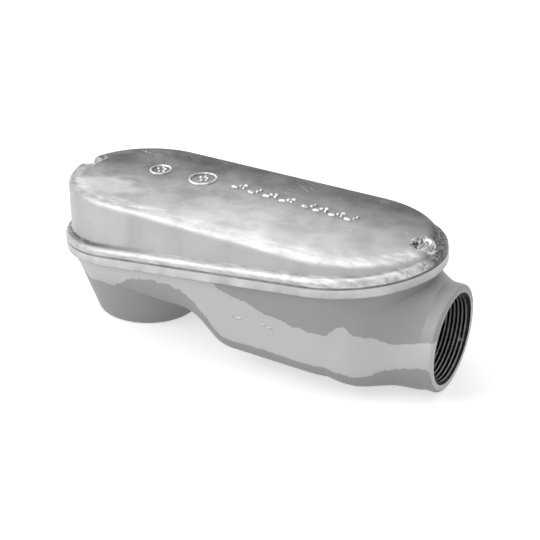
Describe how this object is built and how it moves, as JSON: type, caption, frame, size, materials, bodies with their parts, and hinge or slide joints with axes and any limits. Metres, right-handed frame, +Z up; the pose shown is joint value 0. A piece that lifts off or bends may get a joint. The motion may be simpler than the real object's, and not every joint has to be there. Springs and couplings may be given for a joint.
{
  "type": "angled conduit body",
  "caption": "Cast conduit body with a threaded end hub, a threaded back hub and a sloping domed cover held by screws, for turning conduit and pulling wires.",
  "frame": {"origin": "centre of the back hub's face, the end of the conduit that leaves downwards", "axes": "+Z up along the back hub's axis into the body, +X along the other conduit's run and out of the end hub, Y across the width, with the XZ plane as the plane of symmetry"},
  "size_m": [0.3447, 0.1512, 0.1184],
  "materials": {
    "galvanized_casting": "matte hot-dip galvanized casting",
    "galvanized_cover": "satin hot-dip galvanized casting",
    "gasket": "matte",
    "screw": "zinc-plated"
  },
  "bodies": {
    "root": {"body_casting": "galvanized_casting", "cover": "galvanized_cover", "gasket": "gasket", "cover_screw_deep_end": "screw", "cover_screw_shallow_end": "screw"}
  },
  "joints": []
}
